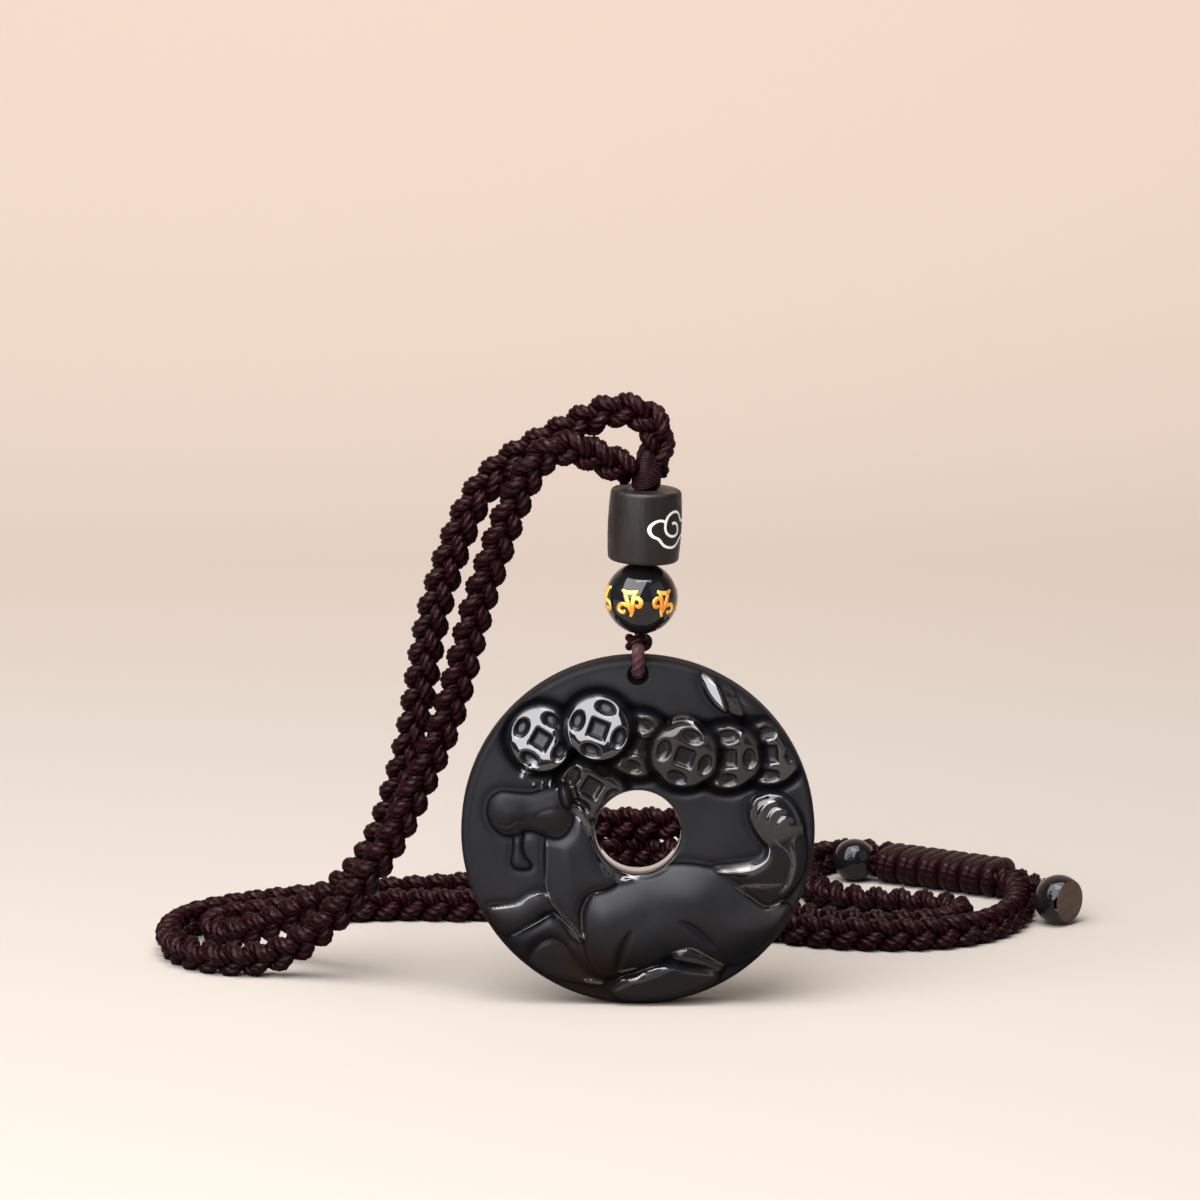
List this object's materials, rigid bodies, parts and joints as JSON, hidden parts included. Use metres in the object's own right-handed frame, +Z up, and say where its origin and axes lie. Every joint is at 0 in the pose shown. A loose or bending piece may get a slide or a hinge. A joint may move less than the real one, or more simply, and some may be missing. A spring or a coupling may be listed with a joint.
{
  "type": "obsidian disc pendant on a braided cord necklace",
  "caption": "Black disc pendant carved with a resting horse and coins, hung under two beads from an adjustable braided cord that is tied back on itself with a sliding sleeve.",
  "frame": {"origin": "underside of the cord's eye over the beads, where the pendant hangs", "axes": "+Z up, the carved face looks along -Y, +X to the right seen from the carved face"},
  "size_m": [0.136, 0.0983, 0.0872],
  "materials": {
    "disc": "frosted black obsidian with polished relief",
    "barrel_bead": "satin dark wood",
    "cloud_inlay": "silver line",
    "round_bead": "polished black obsidian with gold ornament",
    "bead_thread": "twisted thread",
    "drop_knot": "knotted thread",
    "disc_thread": "twisted thread",
    "top_binding": "wrapped thread",
    "cord_a": "braid of three strands",
    "cord_b": "braid of three strands",
    "slider_knot": "square knots",
    "tail_1": "twisted cord",
    "tail_2": "twisted cord",
    "end_bead_1": "polished dark wood",
    "end_bead_2": "polished dark wood"
  },
  "bodies": {
    "necklace": {"barrel_bead": "barrel_bead", "cloud_inlay": "cloud_inlay", "round_bead": "round_bead", "bead_thread": "bead_thread", "drop_knot": "drop_knot", "disc_thread": "disc_thread", "top_binding": "top_binding", "cord_a": "cord_a", "cord_b": "cord_b", "slider_knot": "slider_knot", "tail_1": "tail_1", "tail_2": "tail_2", "end_bead_1": "end_bead_1", "end_bead_2": "end_bead_2"},
    "disc": {"disc": "disc"}
  },
  "joints": [
    {"name": "disc_swing", "type": "hinge", "parent": "necklace", "child": "disc", "pos_m": [0.0028, 0, -0.0347], "axis": [0, 1, 0], "range_deg": [-20, 20]}
  ]
}
